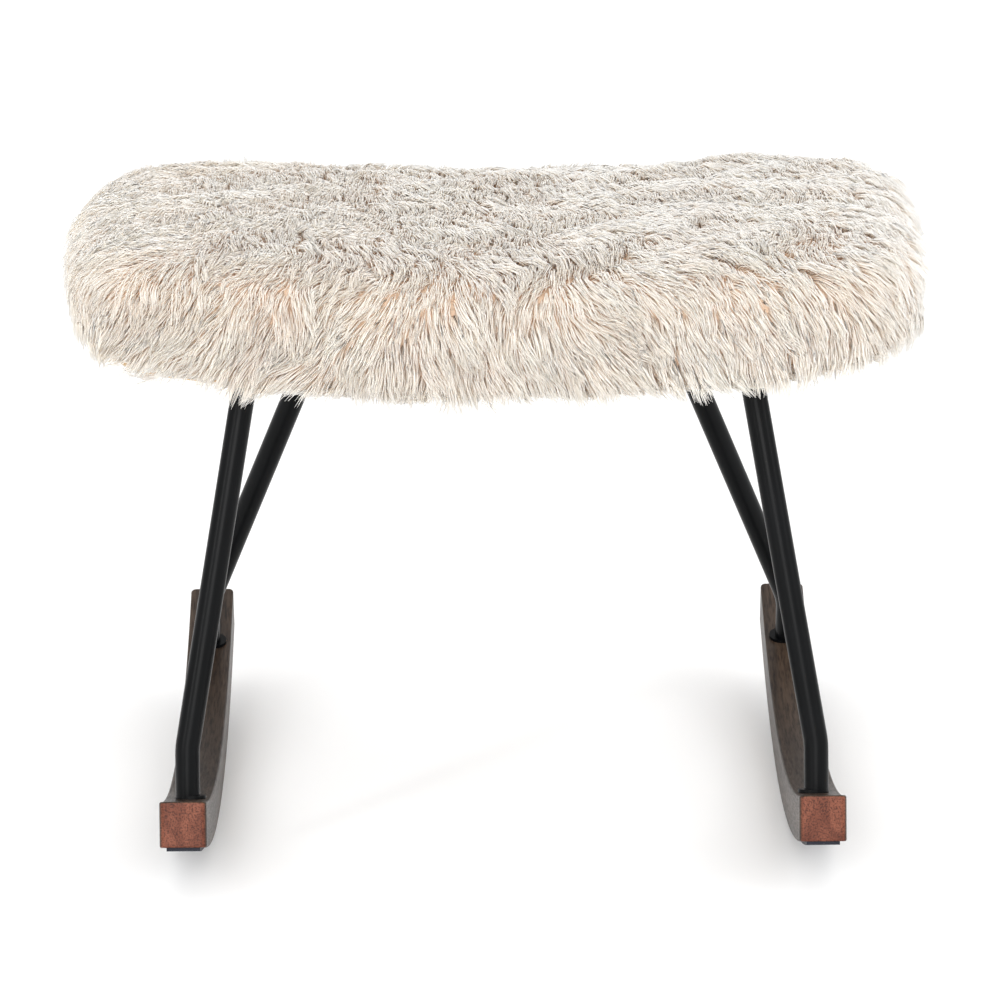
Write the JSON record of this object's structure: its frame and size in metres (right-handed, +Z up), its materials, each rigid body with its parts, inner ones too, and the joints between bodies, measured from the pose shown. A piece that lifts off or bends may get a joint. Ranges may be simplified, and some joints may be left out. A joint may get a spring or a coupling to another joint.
{
  "type": "rocking footstool",
  "caption": "Low saddle-seat footstool with a long-pile fur cover on bent black tube legs and two curved wooden rockers.",
  "frame": {"origin": "on the floor under the middle of the seat, at the lowest line of the rockers' felt, at rest", "axes": "+Z up, X across the seat from rocker to rocker with +X to the right seen from the front, Y along the rockers with the front at -Y"},
  "size_m": [0.626, 0.4994, 0.4772],
  "materials": {
    "stained_walnut": "satin",
    "black_powder_coat": "satin",
    "zinc_plated_steel": "satin",
    "black_steel_bolt": "satin",
    "navy_felt": "matte",
    "birch_plywood": "matte",
    "upholstery_foam": "matte",
    "dust_cloth": "matte",
    "cream_long_pile": "matte"
  },
  "bodies": {
    "root": {"left_rocker": "stained_walnut", "left_felt_strip": "navy_felt", "right_rocker": "stained_walnut", "right_felt_strip": "navy_felt", "front_left_leg": "black_powder_coat", "front_left_leg_plate": "black_powder_coat", "front_right_leg": "black_powder_coat", "front_right_leg_plate": "black_powder_coat", "rear_left_leg": "black_powder_coat", "rear_left_leg_plate": "black_powder_coat", "rear_right_leg": "black_powder_coat", "rear_right_leg_plate": "black_powder_coat", "foot_plates": "black_powder_coat", "foot_plugs": "zinc_plated_steel", "foot_bolts": "zinc_plated_steel", "seat_bolts": "black_steel_bolt", "seat_bolt_washers": "black_steel_bolt", "seat_nuts": "zinc_plated_steel", "seat_board": "birch_plywood", "dust_cover": "dust_cloth", "foam_pad": "upholstery_foam", "fur_top_panel": "cream_long_pile", "fur_border": "cream_long_pile"}
  },
  "joints": []
}
